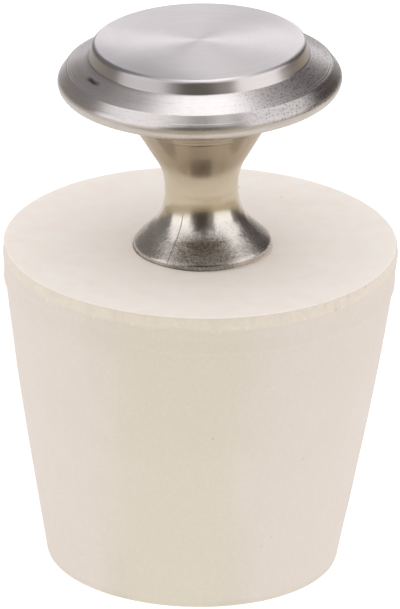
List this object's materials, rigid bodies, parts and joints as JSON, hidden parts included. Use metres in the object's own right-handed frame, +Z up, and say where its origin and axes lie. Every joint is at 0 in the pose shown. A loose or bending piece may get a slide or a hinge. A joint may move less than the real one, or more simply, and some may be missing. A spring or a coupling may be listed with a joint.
{
  "type": "rubber pipe plug",
  "caption": "Tapered solid rubber plug for the open end of a pipe, with a satin metal pull knob screwed on through the rubber.",
  "frame": {"origin": "middle of the rubber's flat bottom face, which the plug stands on", "axes": "+Z up along the rubber's axis towards the knob; the knob leans a little towards -X; Y is the direction across the lean"},
  "size_m": [0.0447, 0.0446, 0.0629],
  "materials": {
    "rubber": "matte pale beige moulded rubber, fine grain, yellowed band round the top edge",
    "knob_metal": "satin nickel plate over a zinc casting, finely turned on top, softly polished on the stem",
    "screw_steel": "zinc plated steel",
    "washer_steel": "zinc plated steel, stamped"
  },
  "bodies": {
    "root": {"rubber_plug": "rubber", "knob": "knob_metal", "machine_screw": "screw_steel", "washer": "washer_steel"}
  },
  "joints": []
}
